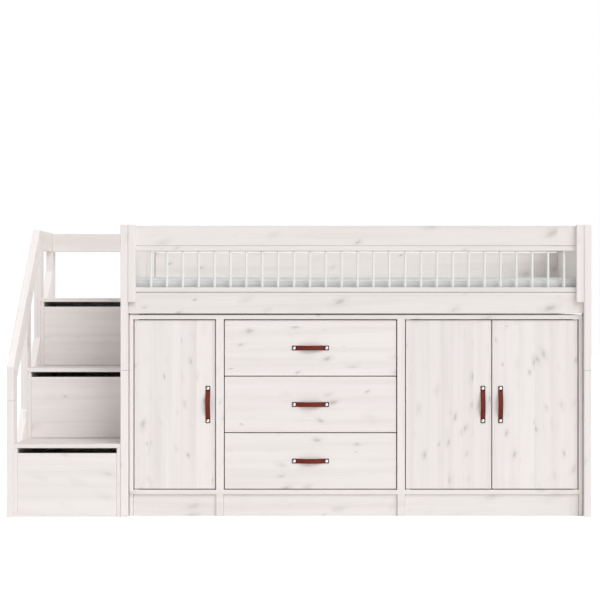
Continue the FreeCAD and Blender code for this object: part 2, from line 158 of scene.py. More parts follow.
def bump(tree, shader, height, distance, strength=1.0):
    node = addNode(tree, "ShaderNodeBump")
    feed(tree, node.inputs["Height"], height)
    node.inputs["Distance"].default_value = distance
    node.inputs["Strength"].default_value = strength
    tree.links.new(node.outputs[0], shader.inputs["Normal"])


# White-washed pine: grain, knots and glued staves under a thin wash, all in metres
pineLook = {
    "wash": (0.900, 0.863, 0.848, 1),
    "grainTone": (0.745, 0.690, 0.655, 1),
    "knotTone": (0.405, 0.385, 0.372, 1),
    "grainShare": 0.20,             # how much of the grain tone shows through the wash
    "bandShare": 0.36,
    "knotShare": 0.56,
    "haloShare": 0.16,
    "knotStretch": 0.50,            # below 1, knots lie along the grain
    "knotLean": 0.34,               # the most that a stave's knots lean, either way
    "knotRadius": (0.08, 0.30),     # shares of a cell
    "knotStrength": (0.35, 1.0),    # the faintest knots and the strongest
    "coreShare": 0.1,               # share of a knot's radius that is fully dark
    "haloReach": (2.2, 0.5),        # in knot radii, from nothing to full
    "raggedScale": 55,              # how uneven the knots' rims are
    "raggedSize": 0.014,
    "driftScale": 7,                # the growth wanders a little across the board
    "driftStretch": 0.30,
    "driftSize": 0.020,
    "bendSize": 0.012,              # how far the grain lines bend round a knot
    "staveShift": 3.1,
    "staveTone": 0.05,
    "rosy": (1.000, 0.985, 0.989, 1),       # staves differ a little in hue
    "creamy": (1.000, 0.999, 0.980, 1),
    "seamWidth": 0.0011,
    "seamShare": 0.10,
    "fineScale": 380,
    "fineStretch": 0.016,
    "fineEdges": (0.46, 0.72),      # noise levels at which a line starts, and is full
    "bandScale": 26,
    "bandStretch": 0.035,
    "bandEdges": (0.40, 0.75),
    "roughness": (0.44, 0.66),
    "poreDepth": 0.6,               # shares of the relief
    "knotDepth": 0.3,
    "seamDepth": 0.5,
    "relief": 0.0006,
    "reliefStrength": 0.35,
    "topShadeEdges": (0.6, 0.9),        # how far upwards a face looks before the painted top shade starts
}
innerLook = dict(pineLook, wash=(0.700, 0.610, 0.500, 1), grainTone=(0.560, 0.440, 0.310, 1),
                 knotTone=(0.300, 0.200, 0.120, 1), grainShare=0.5)
# painted light: a paler copy of the washed pine, so the climbing boards read as more brightly lit
paintedLightLook = dict(pineLook, wash=(0.950, 0.915, 0.900, 1), bandShare=0.20, staveTone=0.0)
rodLook = dict(pineLook, wash=(0.835, 0.842, 0.828, 1), grainTone=(0.720, 0.720, 0.700, 1), bandShare=0.15,
               staveTone=0.0, rosy=(1, 1, 1, 1), creamy=(1, 1, 1, 1))


def makePineGroup(name, look):
    group = bpy.data.node_groups.new(name, "ShaderNodeTree")
    for label, kind in (("Vector", "Vector"), ("Stave Width", "Float"), ("Seed", "Float"), ("Knots", "Float"),
                        ("Knot Cell", "Float")):
        group.interface.new_socket(label, in_out="INPUT", socket_type="NodeSocket" + kind)
    for label, kind in (("Color", "Color"), ("Height", "Float"), ("Roughness", "Float")):
        group.interface.new_socket(label, in_out="OUTPUT", socket_type="NodeSocket" + kind)
    source = addNode(group, "NodeGroupInput")
    sink = addNode(group, "NodeGroupOutput")
    seed = source.outputs["Seed"]
    along, across, depth = parts(group, source.outputs["Vector"])

    # each stave is cut from another place in the wood
    row = calc(group, "ADD", calc(group, "DIVIDE", across, source.outputs["Stave Width"]), seed)
    chance = addNode(group, "ShaderNodeTexWhiteNoise", noise_dimensions="2D")
    feed(group, chance.inputs["Vector"], point(group, calc(group, "FLOOR", row), seed, 0.0))
    draw = addNode(group, "ShaderNodeSeparateColor")
    feed(group, draw.inputs[0], chance.outputs["Color"])
    along = calc(group, "MULTIPLY_ADD", chance.outputs["Value"], look["staveShift"], along)
    along = calc(group, "ADD", along, seed)
    edge = calc(group, "PINGPONG", row, 0.5)
    edge = calc(group, "MULTIPLY", edge, source.outputs["Stave Width"])
    seam = step(group, edge, look["seamWidth"], 0.0)

    def drawnOut(stretch, side):        # a place in the wood, stretched along the grain
        return point(group, calc(group, "MULTIPLY", along, stretch), side, depth)

    drift = noise(group, drawnOut(look["driftStretch"], across), look["driftScale"])
    across = calc(group, "MULTIPLY_ADD", drift, look["driftSize"], across)

    # knots: stretched cells, some empty, each with its own size and strength
    cell = addNode(group, "ShaderNodeTexVoronoi", voronoi_dimensions="3D", feature="F1")
    ragged = noise(group, point(group, along, across, depth), look["raggedScale"])
    lean = spread(group, draw.outputs[2], -look["knotLean"], look["knotLean"])
    leaning = calc(group, "MULTIPLY_ADD", along, lean, across)
    leaning = calc(group, "MULTIPLY_ADD", ragged, look["raggedSize"], leaning)
    feed(group, cell.inputs["Vector"], drawnOut(look["knotStretch"], leaning))
    feed(group, cell.inputs["Scale"], calc(group, "DIVIDE", 1.0, source.outputs["Knot Cell"]))
    dice = addNode(group, "ShaderNodeSeparateColor")
    feed(group, dice.inputs[0], cell.outputs["Color"])
    size = spread(group, calc(group, "POWER", dice.outputs[0], 2.0), *look["knotRadius"])
    there = calc(group, "LESS_THAN", dice.outputs[1], source.outputs["Knots"])
    strength = calc(group, "MULTIPLY", there, spread(group, dice.outputs[2], *look["knotStrength"]))
    distance = cell.outputs["Distance"]
    core = step(group, distance, size, calc(group, "MULTIPLY", size, look["coreShare"]))
    core = calc(group, "MULTIPLY", core, strength)
    halo = step(group, distance, *[calc(group, "MULTIPLY", size, reach) for reach in look["haloReach"]])
    halo = calc(group, "MULTIPLY", halo, strength)

    # fine lines and broad bands of grain, bent round the knots
    bent = calc(group, "MULTIPLY_ADD", halo, look["bendSize"], across)
    fine = noise(group, drawnOut(look["fineStretch"], bent), look["fineScale"], 3.0, 0.6)
    band = noise(group, drawnOut(look["bandStretch"], bent), look["bandScale"])
    fineLine = step(group, fine, *look["fineEdges"])
    bandLine = step(group, band, *look["bandEdges"])

    colour = look["wash"]
    for layer, share, tone in ((fineLine, "grainShare", "grainTone"), (bandLine, "bandShare", "grainTone"),
                               (halo, "haloShare", "knotTone"), (core, "knotShare", "knotTone"),
                               (seam, "seamShare", "knotTone")):
        colour = tint(group, calc(group, "MULTIPLY", layer, look[share]), colour, look[tone])
    tone = spread(group, chance.outputs["Value"], 1 - look["staveTone"], 1.0)
    colour = tint(group, 1.0, colour, point(group, tone, tone, tone), "MULTIPLY")
    colour = tint(group, 1.0, colour, tint(group, draw.outputs[1], look["rosy"], look["creamy"]), "MULTIPLY")
    feed(group, sink.inputs["Color"], colour)

    height = calc(group, "MULTIPLY_ADD", fineLine, -look["poreDepth"], 1.0)
    height = calc(group, "MULTIPLY_ADD", core, -look["knotDepth"], height)
    height = calc(group, "MULTIPLY_ADD", seam, -look["seamDepth"], height)
    feed(group, sink.inputs["Height"], height)
    feed(group, sink.inputs["Roughness"], spread(group, fine, *look["roughness"]))
    return group


pineGroup = makePineGroup("washed_pine", pineLook)
innerGroup = makePineGroup("inner_pine", innerLook)
paintedLightGroup = makePineGroup("painted_light_pine", paintedLightLook)
rodGroup = makePineGroup("rod_pine", rodLook)


# The grain runs along one axis and the staves lie side by side along another; a 5 m stave leaves a board whole
def pineMaterial(name, grain, lay, seed, stave=5.0, knots=0.5, knotCell=0.050, slope=0.0, paintedTopShade=0.0,
                 group=pineGroup):
    material, tree, shader = newMaterial(name, Specular_IOR_Level=0.35)
    place = objectPlace(tree)
    if slope:                           # a board that climbs the stairs: turn its grain level first
        turn = addNode(tree, "ShaderNodeMapping")
        turn.inputs["Rotation"].default_value = (-slope, 0, 0)
        feed(tree, turn.inputs["Vector"], place)
        place = turn.outputs[0]
    axes = dict(zip("xyz", parts(tree, place)))
    third = next(axis for axis in "xyz" if axis not in (grain, lay))
    wood = addNode(tree, "ShaderNodeGroup", node_tree=group)
    feed(tree, wood.inputs["Vector"], point(tree, axes[grain], axes[lay], axes[third]))
    wood.inputs["Stave Width"].default_value = stave
    wood.inputs["Seed"].default_value = seed
    wood.inputs["Knots"].default_value = knots              # share of the cells that hold a knot
    wood.inputs["Knot Cell"].default_value = knotCell
    colour = wood.outputs["Color"]
    if paintedTopShade:                            # painted shade: upper faces are darkened towards the knot tone, standing in for less light from above
        upward = parts(tree, addNode(tree, "ShaderNodeNewGeometry").outputs["Normal"])[2]
        topShadeMask = calc(tree, "MULTIPLY", step(tree, upward, *pineLook["topShadeEdges"]), paintedTopShade)
        colour = tint(tree, topShadeMask, colour, pineLook["knotTone"])
    feed(tree, shader.inputs["Base Color"], colour)
    feed(tree, shader.inputs["Roughness"], wood.outputs["Roughness"])
    bump(tree, shader, wood.outputs["Height"], pineLook["relief"], pineLook["reliefStrength"])
    return material


stairSlope = math.atan2(1.0, 0.945)     # rise over run of the handrail
uprightPine = pineMaterial("pine_upright", "z", "x", 0.3)
levelPine = pineMaterial("pine_level", "x", "z", 1.7, knots=0.95, knotCell=0.066)
crossPine = pineMaterial("pine_crosswise", "y", "z", 2.9, knots=0.15)
treadPine = pineMaterial("pine_tread", "x", "y", 4.1, stave=0.110, paintedTopShade=0.25)
shelfPine = pineMaterial("pine_shelf", "x", "y", 4.1, stave=0.110)
panelPine = pineMaterial("pine_panel", "z", "y", 5.9, stave=0.090)
doorPine = pineMaterial("pine_door", "z", "x", 6.7, stave=0.068, knots=0.9)
drawerPine = pineMaterial("pine_drawer", "x", "z", 7.9, stave=0.092, knots=0.65)
riserPine = pineMaterial("pine_riser", "x", "z", 8.9, stave=0.110, knots=0.75, knotCell=0.075)
# painted light: the handrail and stringer take the paler pine copy
climbPine = pineMaterial("pine_climbing", "y", "z", 9.1, slope=stairSlope, group=paintedLightGroup)
boxPine = pineMaterial("pine_box", "y", "z", 11.3, stave=0.120, group=innerGroup)
slatPine = pineMaterial("pine_slat", "y", "x", 12.9, group=innerGroup)
rodPine = pineMaterial("pine_rod", "z", "x", 14.2, knots=0.0, group=rodGroup)

movingFronts = ["stair_drawer_%d" % n for n in (1, 2, 3)] + ["chest_drawer_%d" % n for n in (1, 2, 3)]
doorNames = ["small_door", "left_door", "right_door"]
woodPlan = [
    (uprightPine, ["lower_legs", "upper_posts", "post_tenons", "guard_battens", "entry_post",
                   "stair_front_post", "stair_rear_post", "stair_balusters", "cabinet_sides"]),
    (levelPine, ["front_top_board", "spindle_rails", "front_side_rail", "rear_boards", "stair_rear_rail",
                 "cabinet_plinths", "cabinet_bottoms", "cabinet_tops"]),
    (crossPine, ["right_end_boards", "left_end_boards", "stair_top_board"]),
    (treadPine, ["stair_treads"]),
    (shelfPine, ["cabinet_shelves"]),
    (panelPine, ["stair_side_panels"]),
    (doorPine, doorNames + ["cabinet_backs", "stair_back_panel"]),
    (drawerPine, [name + "_front" for name in movingFronts[3:]]),
    (riserPine, [name + "_front" for name in movingFronts[:3]]),
    (climbPine, ["stair_handrail", "stair_stringer"]),
    (boxPine, [name + "_box" for name in movingFronts] + ["drawer_runners"]),
    (slatPine, ["bed_slats", "slat_ledges"]),
    (rodPine, ["guard_spindles"]),
]


def dress(node, material):
    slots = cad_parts[node].data.materials
    if not len(slots):
        slots.append(material)
    for index in range(len(slots)):
        slots[index] = material


for material, nodeNames in woodPlan:
    for nodeName in nodeNames:
        dress(nodeName, material)
print("wood dressed")


# Leather, bright metal and the mattress cover
leatherLook = {
    "colour": (0.208, 0.032, 0.020, 1),
    "dark": (0.105, 0.017, 0.011, 1),
    # the dark of the cut edges, also used for the painted shade round the studs
    "edge": (0.030, 0.009, 0.006, 1),
    "grainScale": 900,
    "creaseEdges": (0.02, 0.22),    # from the middle of a crease to the smooth leather, in cells
    "creaseShare": 0.25,
    "blotchScale": 90,
    "blotchEdges": (0.40, 0.75),
    "blotchShare": 0.5,
    "edgeAndStudShadeShare": 0.8,
    "roughness": (0.62, 0.46),      # in the creases, and between them
    "relief": 0.0003,
    "reliefStrength": 0.5,
}


def makeLeather(look):
    material, tree, shader = newMaterial("saddle_leather", Specular_IOR_Level=0.15)
    place = objectPlace(tree)
    rim = addNode(tree, "ShaderNodeAttribute", attribute_name="strapEdgeAndStudShade")
    blotch = noise(tree, place, look["blotchScale"], 3.0)
    grain = addNode(tree, "ShaderNodeTexVoronoi", feature="DISTANCE_TO_EDGE")
    feed(tree, grain.inputs["Vector"], place)
    grain.inputs["Scale"].default_value = look["grainScale"]
    smooth = step(tree, grain.outputs["Distance"], *look["creaseEdges"])
    blotched = calc(tree, "MULTIPLY", step(tree, blotch, *look["blotchEdges"]), look["blotchShare"])
    creased = calc(tree, "MULTIPLY_ADD", smooth, -look["creaseShare"], look["creaseShare"])
    colour = tint(tree, blotched, look["colour"], look["dark"])
    colour = tint(tree, creased, colour, look["dark"])
    # darker cut edges, and painted shade round the studs, both from the strap's attribute
    colour = tint(tree, calc(tree, "MULTIPLY", rim.outputs["Fac"], look["edgeAndStudShadeShare"]), colour, look["edge"])
    feed(tree, shader.inputs["Base Color"], colour)
    feed(tree, shader.inputs["Roughness"], spread(tree, smooth, *look["roughness"]))
    bump(tree, shader, smooth, look["relief"], look["reliefStrength"])
    return material


nickelLook = {
    "tones": ((0.80, 0.79, 0.77, 1), (0.90, 0.89, 0.87, 1)),
    "hazeScale": 420,
    "roughness": (0.08, 0.22),
}


def makeBrightMetal(look):
    material, tree, shader = newMaterial("bright_nickel", Metallic=1.0)
    haze = noise(tree, objectPlace(tree), look["hazeScale"], 3.0)
    feed(tree, shader.inputs["Base Color"], tint(tree, haze, *look["tones"]))
    feed(tree, shader.inputs["Roughness"], spread(tree, haze, *look["roughness"]))
    return material


steelLook = {
    "tones": ((0.47, 0.46, 0.45, 1), (0.62, 0.61, 0.60, 1)),
    "drawnScale": 900,
    "drawnStretch": 0.05,           # below 1, the lines run along x
    "roughness": (0.28, 0.45),
}


def makePivotSteel(look):
    material, tree, shader = newMaterial("pivot_steel", Metallic=1.0)
    x, y, z = parts(tree, objectPlace(tree))
    drawnX = calc(tree, "MULTIPLY", x, look["drawnStretch"])
    drawn = noise(tree, point(tree, drawnX, y, z), look["drawnScale"])
    feed(tree, shader.inputs["Base Color"], tint(tree, drawn, *look["tones"]))
    feed(tree, shader.inputs["Roughness"], spread(tree, drawn, *look["roughness"]))
    return material


coverLook = {
    "cloth": (0.845, 0.850, 0.842, 1),
    "shade": (0.640, 0.650, 0.646, 1),
    "threadScale": 1500,
    "threadShare": 0.35,
    "slubScale": 60,
    "slubShare": 0.3,
    "shadeStartLevel": 1.052,              # painted shade: below this height the cover darkens towards its shade tone
    "shadeFade": 0.055,
    "roughness": (0.75, 0.92),
    "relief": 0.0003,
    "reliefStrength": 0.4,
}


def makeCoverCloth(look):
    material, tree, shader = newMaterial("mattress_cloth", Specular_IOR_Level=0.2, Sheen_Weight=0.15)
    place = objectPlace(tree)
    x, y, z = parts(tree, place)
    turn = math.pi / 2 * look["threadScale"]
    lift = calc(tree, "ADD", y, z)
    warp = calc(tree, "SINE", calc(tree, "MULTIPLY", x, turn))
    weft = calc(tree, "SINE", calc(tree, "MULTIPLY", lift, turn))
    weave = calc(tree, "MULTIPLY_ADD", calc(tree, "MULTIPLY", warp, weft), 0.5, 0.5)
    slub = noise(tree, place, look["slubScale"], 3.0)
    slubbed = calc(tree, "MULTIPLY", slub, look["slubShare"])
    shade = calc(tree, "MULTIPLY_ADD", weave, look["threadShare"], slubbed)
    # painted shade: the cover darkens downwards from the top level, standing in for the shade under the rails
    shade = calc(tree, "ADD", shade, step(tree, z, look["shadeStartLevel"], look["shadeStartLevel"] - look["shadeFade"]))
    feed(tree, shader.inputs["Base Color"], tint(tree, shade, look["cloth"], look["shade"]))
    feed(tree, shader.inputs["Roughness"], spread(tree, slub, *look["roughness"]))
    bump(tree, shader, weave, look["relief"], look["reliefStrength"])
    return material


leather = makeLeather(leatherLook)
brightMetal = makeBrightMetal(nickelLook)
coverCloth = makeCoverCloth(coverLook)
dress("door_pivots", makePivotSteel(steelLook))


def addPiece(name, mesh, material=None):
    piece = bpy.data.objects.new(name, mesh)
    scene.collection.objects.link(piece)
    if material is not None:
        mesh.materials.clear()
        mesh.materials.append(material)
    return piece


def shadeSmooth(mesh):
    for face in mesh.polygons:
        face.use_smooth = True


# Geometry Nodes: a tree with named inputs, and its result as a plain mesh
def newTree(name, inputs):
    tree = bpy.data.node_groups.new(name, "GeometryNodeTree")
    tree.interface.new_socket("Geometry", in_out="OUTPUT", socket_type="NodeSocketGeometry")
    tree.interface.new_socket("Geometry", in_out="INPUT", socket_type="NodeSocketGeometry")
    for label, kind in inputs.items():
        tree.interface.new_socket(label, in_out="INPUT", socket_type="NodeSocket" + kind)
    return tree, addNode(tree, "NodeGroupInput").outputs, addNode(tree, "NodeGroupOutput").inputs


def finishTree(tree, geometry, material, sink):
    real = addNode(tree, "GeometryNodeRealizeInstances")
    feed(tree, real.inputs[0], geometry)
    painted = addNode(tree, "GeometryNodeSetMaterial")
    feed(tree, painted.inputs["Geometry"], real.outputs[0])
    feed(tree, painted.inputs["Material"], material)
    feed(tree, sink[0], painted.outputs[0])


def runTree(name, tree, values, points=(), edges=()):
    start = bpy.data.meshes.new(name + "_start")
    start.from_pydata([tuple(p) for p in points], edges, [])
    holder = addPiece(name + "_start", start)
    modifier = holder.modifiers.new(tree.name, "NODES")
    modifier.node_group = tree
    for item in tree.interface.items_tree:
        if item.in_out == "INPUT" and item.name in values:
            modifier[item.identifier] = values[item.name]
    graph = bpy.context.evaluated_depsgraph_get()
    mesh = bpy.data.meshes.new_from_object(holder.evaluated_get(graph), depsgraph=graph)
    holder.modifiers.remove(modifier)
    bpy.data.objects.remove(holder)
    mesh.name = name
    return addPiece(name, mesh)


# Domed fasteners: a flange, a low dome and a shank behind
domeShare = 0.92                # the dome's radius as a share of the flange's


def makeFastenerTree():
    tree, given, sink = newTree("domed_fastener", {
        "Radius": "Float", "Height": "Float", "Flange": "Float", "Shank Radius": "Float",
        "Shank Length": "Float", "Sides": "Int", "Turn": "Rotation", "Finish": "Material"})
    ball = addNode(tree, "GeometryNodeMeshUVSphere")
    feed(tree, ball.inputs["Segments"], given["Sides"])
    feed(tree, ball.inputs["Rings"], calc(tree, "MULTIPLY", given["Sides"], 0.5))
    feed(tree, ball.inputs["Radius"], calc(tree, "MULTIPLY", given["Radius"], domeShare))
    x, y, z = parts(tree, addNode(tree, "GeometryNodeInputPosition").outputs[0])
    rise = calc(tree, "DIVIDE", calc(tree, "SUBTRACT", given["Height"], given["Flange"]), given["Radius"])
    lift = calc(tree, "MULTIPLY", calc(tree, "MAXIMUM", z, 0.0), calc(tree, "DIVIDE", rise, domeShare))
    dome = addNode(tree, "GeometryNodeSetPosition")
    feed(tree, dome.inputs["Geometry"], ball.outputs["Mesh"])
    feed(tree, dome.inputs["Position"], point(tree, x, y, calc(tree, "ADD", lift, given["Flange"])))
    smooth = addNode(tree, "GeometryNodeSetShadeSmooth")
    feed(tree, smooth.inputs["Geometry"], dome.outputs[0])
    both = addNode(tree, "GeometryNodeJoinGeometry")
    for radius, depth, side in (("Radius", "Flange", 0.5), ("Shank Radius", "Shank Length", -0.5)):
        disc = addNode(tree, "GeometryNodeMeshCylinder")
        feed(tree, disc.inputs["Vertices"], given["Sides"])
        feed(tree, disc.inputs["Radius"], given[radius])
        feed(tree, disc.inputs["Depth"], given[depth])
        moved = addNode(tree, "GeometryNodeTransform")
        feed(tree, moved.inputs["Geometry"], disc.outputs["Mesh"])
        shift = calc(tree, "MULTIPLY", given[depth], side)
        feed(tree, moved.inputs["Translation"], point(tree, 0.0, 0.0, shift))
        feed(tree, both.inputs[0], moved.outputs[0])
    feed(tree, both.inputs[0], smooth.outputs[0])
    copies = addNode(tree, "GeometryNodeInstanceOnPoints")
    feed(tree, copies.inputs["Points"], given["Geometry"])
    feed(tree, copies.inputs["Instance"], both.outputs[0])
    feed(tree, copies.inputs["Rotation"], given["Turn"])
    finishTree(tree, copies.outputs[0], given["Finish"], sink)
    return tree


fastenerTree = makeFastenerTree()
faceFront = (math.radians(90), 0, 0)
faceBack = (math.radians(-90), 0, 0)

# Strap handles: a leather strip that lies flat under its studs and arches between them
strapLook = {
    "thickness": 0.003,
    "edgeRound": 0.0012,
    "cornerRound": 0.0025,
    "footShare": 0.3,           # share of the bend that curves up from the pads
    "endSteps": 6,
    "stations": 64,
    "widthSteps": 8,
    "press": 0.0004,            # the studs press the leather in
    "pressReach": 0.008,
    "rimWidth": 0.0028,         # cut edges are darker, and painted shade darkens the leather round the studs
    "studShadeReach": 0.0140,
    "studShadeFade": 0.0040,
}
studLook = {"flange": 0.0007, "shankRadius": 0.0020, "grip": 0.010, "sides": 28}


def archHeight(x, start, rise, footShare):
    turn = 2 * math.atan(rise / start)
    reach = start / math.sin(turn)
    foot, crest = reach * footShare, reach * (1 - footShare)
    x = abs(x)
    if x >= start:
        return 0.0
    if x > start * (1 - footShare):
        return foot - math.sqrt(foot ** 2 - (start - x) ** 2)
    return rise - crest + math.sqrt(crest ** 2 - x ** 2)


def strapSection(half, thickness, look):     # (across, outward) points round the strip's section
    top = thickness / 2
    r = look["edgeRound"]
    count = look["widthSteps"]
    flat = [(-1 + 2 * n / count) * (half - r) for n in range(count + 1)]
    bend = [math.radians(a) for a in (22.5, 45, 67.5)]
    right = [(half - r + r * math.sin(a), top - r + r * math.cos(a)) for a in bend]
    upper = [(v, top) for v in flat] + right + [(half, 0.0)]
    lower = [(-v, -t) for v, t in upper]
    return upper + lower


def makeStrap(owner, look):
    low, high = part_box(owner + "_strap")
    studLow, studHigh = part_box(owner + "_studs")
    size, studSize = high - low, studHigh - studLow
    upright = size.z > size.x
    length, width = (size.z, size.x) if upright else (size.x, size.z)
    studSpan = abs(studSize.z - studSize.x)
    pad = length - studSpan
    rise = size.y - look["thickness"]
    middle = (low + high) / 2
    start = length / 2 - pad
    corner = look["cornerRound"]
    ends = [corner * (1 - math.cos(math.radians(90) * n / look["endSteps"])) for n in range(look["endSteps"])]
    inner = [corner + (length - 2 * corner) * n / look["stations"] for n in range(look["stations"] + 1)]
    stations = ends + inner + [length - e for e in reversed(ends)]

    nudge = 1e-5                        # a small step along the strip, to find its slope
    shape = bmesh.new()
    edgeAndStudShade = shape.verts.layers.float.new("strapEdgeAndStudShade")
    rings = []
    for place in stations:
        x = place - length / 2
        near = min(place, length - place)
        half = width / 2
        if near < corner:
            half -= corner - math.sqrt(max(0.0, corner ** 2 - (corner - near) ** 2))
        level = archHeight(x, start, rise, look["footShare"])
        slope = (archHeight(x + nudge, start, rise, look["footShare"]) - level) / nudge
        lean = math.atan(slope)
        ring = []
        for v, t in strapSection(half, look["thickness"], look):
            gap = math.hypot(abs(x) - studSpan / 2, v)
            if t > 0:
                t -= look["press"] * math.exp(-(gap / look["pressReach"]) ** 2)
            u = x - t * math.sin(lean)
            out = look["thickness"] / 2 + level + t * math.cos(lean)
            spot = (v, -out, u) if upright else (u, -out, v)
            vert = shape.verts.new((middle.x + spot[0], high.y + spot[1], middle.z + spot[2]))
            rim = 1 - min(half - abs(v), near) / look["rimWidth"]
            # painted shade round the studs
            studShade = (look["studShadeReach"] - gap) / look["studShadeFade"]
            vert[edgeAndStudShade] = min(1.0, max(0.0, rim, studShade))
            ring.append(vert)
        rings.append(ring)
    for ringA, ringB in zip(rings, rings[1:]):
        for n in range(len(ringA)):
            m = (n + 1) % len(ringA)
            shape.faces.new((ringA[n], ringA[m], ringB[m], ringB[n]))
    shape.faces.new(rings[0])
    shape.faces.new(rings[-1])
    bmesh.ops.recalc_face_normals(shape, faces=shape.faces)
    mesh = bpy.data.meshes.new(owner + "_leather")
    shape.to_mesh(mesh)
    shape.free()
    shadeSmooth(mesh)
    return addPiece(owner + "_leather", mesh, leather)


def makeStuds(owner, look):
    low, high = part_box(owner + "_studs")
    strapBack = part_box(owner + "_strap")[1].y
    size = high - low
    radius = min(size.x, size.z) / 2
    seat = strapBack - strapLook["thickness"]
    middle = (low + high) / 2
    reach = max(size.x, size.z) / 2 - radius
    shift = Vector((0, 0, reach)) if size.z > size.x else Vector((reach, 0, 0))
    seats = [Vector((middle.x, seat, middle.z)) + side * shift for side in (-1, 1)]
    return runTree(owner + "_stud_heads", fastenerTree, {
        "Radius": radius, "Height": seat - low.y, "Flange": look["flange"],
        "Shank Radius": look["shankRadius"], "Shank Length": strapLook["thickness"] + look["grip"],
        "Sides": look["sides"], "Turn": faceFront, "Finish": brightMetal}, seats)


for owner in doorNames + movingFronts[3:]:
    strap = makeStrap(owner, strapLook)
    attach(strap, owner)
    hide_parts(owner + "_strap")
    studs = makeStuds(owner, studLook)
    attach(studs, owner)
    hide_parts(owner + "_studs")
print("strap handles made")


def mergedCopy(node):                   # a frame mesh is loose triangles, so its doubles are joined
    shape = bmesh.new()
    shape.from_mesh(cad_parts[node].data)
    bmesh.ops.remove_doubles(shape, verts=shape.verts, dist=1e-5)
    return shape


def solidBoxes(node):                   # the box of each separate solid in a node
    shape = mergedCopy(node)
    seen, boxes = set(), []
    for first in shape.verts:
        if first in seen:
            continue
        queue, group = [first], []
        seen.add(first)
        while queue:
            vert = queue.pop()
            group.append(vert.co.copy())
            for edge in vert.link_edges:
                other = edge.other_vert(vert)
                if other not in seen:
                    seen.add(other)
                    queue.append(other)
        boxes.append((Vector(map(min, zip(*group))), Vector(map(max, zip(*group)))))
    shape.free()
    return sorted(boxes, key=lambda b: tuple(b[0]))


# Round spindles of the front guard, smooth where the frame's are faceted
spindleLook = {"sides": 24, "segments": 24, "neckShare": 0.90, "neckLength": 0.010}


def makeSpindleTree(look):
    tree, given, sink = newTree("guard_spindle", {
        "Radius": "Float", "Length": "Float", "Neck": "Float", "Neck Length": "Float", "Sides": "Int",
        "Finish": "Material"})
    rod = addNode(tree, "GeometryNodeMeshCylinder")
    feed(tree, rod.inputs["Vertices"], given["Sides"])
    rod.inputs["Side Segments"].default_value = look["segments"]
    feed(tree, rod.inputs["Radius"], given["Radius"])
    feed(tree, rod.inputs["Depth"], given["Length"])
    x, y, z = parts(tree, addNode(tree, "GeometryNodeInputPosition").outputs[0])
    toEnd = calc(tree, "SUBTRACT", calc(tree, "MULTIPLY", given["Length"], 0.5), calc(tree, "ABSOLUTE", z))
    full = step(tree, toEnd, 0.0, given["Neck Length"])
    girth = calc(tree, "MULTIPLY_ADD", full, calc(tree, "SUBTRACT", 1.0, given["Neck"]), given["Neck"])
    turned = addNode(tree, "GeometryNodeSetPosition")
    feed(tree, turned.inputs["Geometry"], rod.outputs["Mesh"])
    feed(tree, turned.inputs["Position"],
         point(tree, calc(tree, "MULTIPLY", x, girth), calc(tree, "MULTIPLY", y, girth), z))
    smooth = addNode(tree, "GeometryNodeSetShadeSmooth")
    feed(tree, smooth.inputs["Geometry"], turned.outputs[0])
    copies = addNode(tree, "GeometryNodeInstanceOnPoints")
    feed(tree, copies.inputs["Points"], given["Geometry"])
    feed(tree, copies.inputs["Instance"], smooth.outputs[0])
    finishTree(tree, copies.outputs[0], given["Finish"], sink)
    return tree


def makeSpindles(look):
    boxes = solidBoxes("guard_spindles")
    low, high = boxes[0]
    return runTree("turned_spindles", makeSpindleTree(look), {
        "Radius": (high.y - low.y) / 2, "Length": high.z - low.z, "Neck": look["neckShare"],
        "Neck Length": look["neckLength"], "Sides": look["sides"], "Finish": rodPine},
        [(a + b) / 2 for a, b in boxes])


spindles = makeSpindles(spindleLook)
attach(spindles, "bed")
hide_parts("guard_spindles")
print("spindles made")


# Mattress: the frame's form, drawn in, then blown up again by a cloth simulation with its underside held
mattressLook = {
    "drawIn": 0.003,            # at each side, before the pressure
    "voxel": 0.010,
    "pressure": 4.0,
    "frames": 20,
    "quality": 4,
    "cap": 0.005,               # the most that the pressure may move a point
    "heldHeight": 0.010,
    "clear": 0.0004,            # left free inside the frame's box
    "fill": 0.9,
    "endReach": 0.100,          # how far from an end the filling squares it up
    "endPush": 0.7,
    "topReach": 0.030,
    "pipingRadius": 0.0018,
    "pipingSides": 10,
    "rimDrop": 0.010,           # the upper seam lies this far below the crown
    "hemLift": 0.010,           # and the lower one this far above the underside
    "cornerRadius": 0.045,
    "pipingStep": 0.016,
    "pucker": 0.0008,           # how far the cover gathers at the upper seam
    "puckerPitch": 0.055,
    "puckerSlant": 1.3,
    "puckerBeat": (0.37, 1.1),  # a second, slower wave: its share of the pitch and its start
    "puckerReach": 0.020,
    "puckerBand": 0.050,        # above and below the seam, and outside this share of the half size
    "puckerRim": 0.9,
}


def startMattress(look):
    shape = mergedCopy("mattress")
    mesh = bpy.data.meshes.new("mattress_cover")
    shape.to_mesh(mesh)
    shape.free()
    low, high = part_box("mattress")
    middle, size = (low + high) / 2, high - low
    for vert in mesh.vertices:
        for axis in range(3):
            share = 1 - 2 * look["drawIn"] / size[axis]
            base = low.z if axis == 2 else middle[axis]
            vert.co[axis] = base + (vert.co[axis] - base) * share
    piece = addPiece("mattress_cover", mesh, coverCloth)
    remesh = piece.modifiers.new("even", "REMESH")
    remesh.mode = "VOXEL"
    remesh.voxel_size = look["voxel"]
    graph = bpy.context.evaluated_depsgraph_get()
    even = bpy.data.meshes.new_from_object(piece.evaluated_get(graph), depsgraph=graph)
    piece.modifiers.remove(remesh)
    piece.data = even
    even.materials.clear()
    even.materials.append(coverCloth)
    return piece


